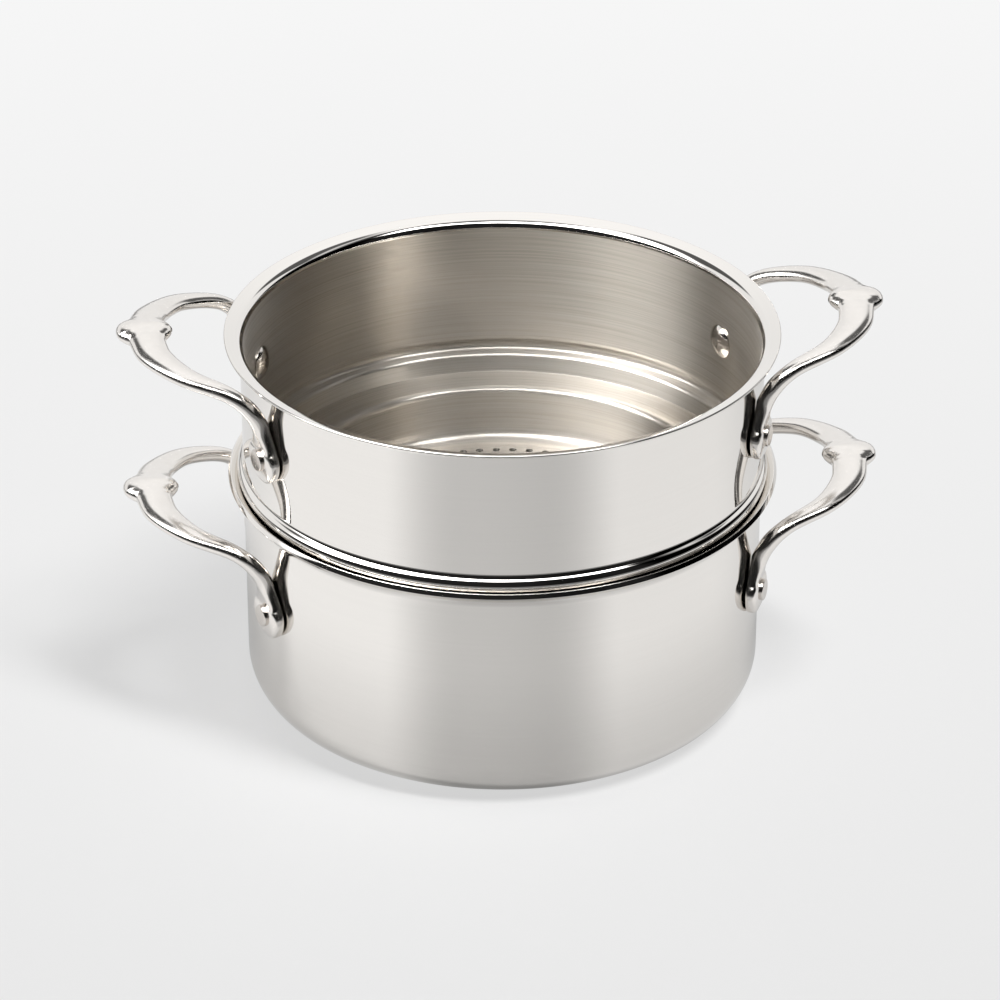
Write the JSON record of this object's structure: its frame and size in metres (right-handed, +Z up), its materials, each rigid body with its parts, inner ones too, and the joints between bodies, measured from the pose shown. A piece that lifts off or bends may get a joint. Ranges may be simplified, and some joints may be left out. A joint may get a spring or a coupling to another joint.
{
  "type": "steamer pot",
  "caption": "Round steel pot with a flared rim and a stepped, perforated steamer insert seated in it, each with riveted loop handles for lifting.",
  "frame": {"origin": "centre of the pot's flat base, on the surface it stands on", "axes": "+Z up along the axis of the pot and the insert, +X towards the right-hand handles"},
  "size_m": [0.3162, 0.2288, 0.1739],
  "materials": {
    "clad_steel": "satin polished outside, brushed inside",
    "sheet_steel": "satin polished outside, brushed inside, bright rim and bead",
    "cast_steel": "mirror polished",
    "rivet_steel": "polished"
  },
  "bodies": {
    "pot": {"pot_body": "clad_steel", "pot_handle_right": "cast_steel", "pot_handle_left": "cast_steel", "pot_rivet_right_front": "rivet_steel", "pot_rivet_right_back": "rivet_steel", "pot_rivet_left_front": "rivet_steel", "pot_rivet_left_back": "rivet_steel"},
    "insert": {"steamer_insert": "sheet_steel", "insert_handle_right": "cast_steel", "insert_handle_left": "cast_steel", "insert_rivet_right_front": "rivet_steel", "insert_rivet_right_back": "rivet_steel", "insert_rivet_left_front": "rivet_steel", "insert_rivet_left_back": "rivet_steel"}
  },
  "joints": [
    {"name": "insert_lift", "type": "slide", "parent": "pot", "child": "insert", "axis": [0, 0, 1], "range_m": [0, 0.15]}
  ]
}
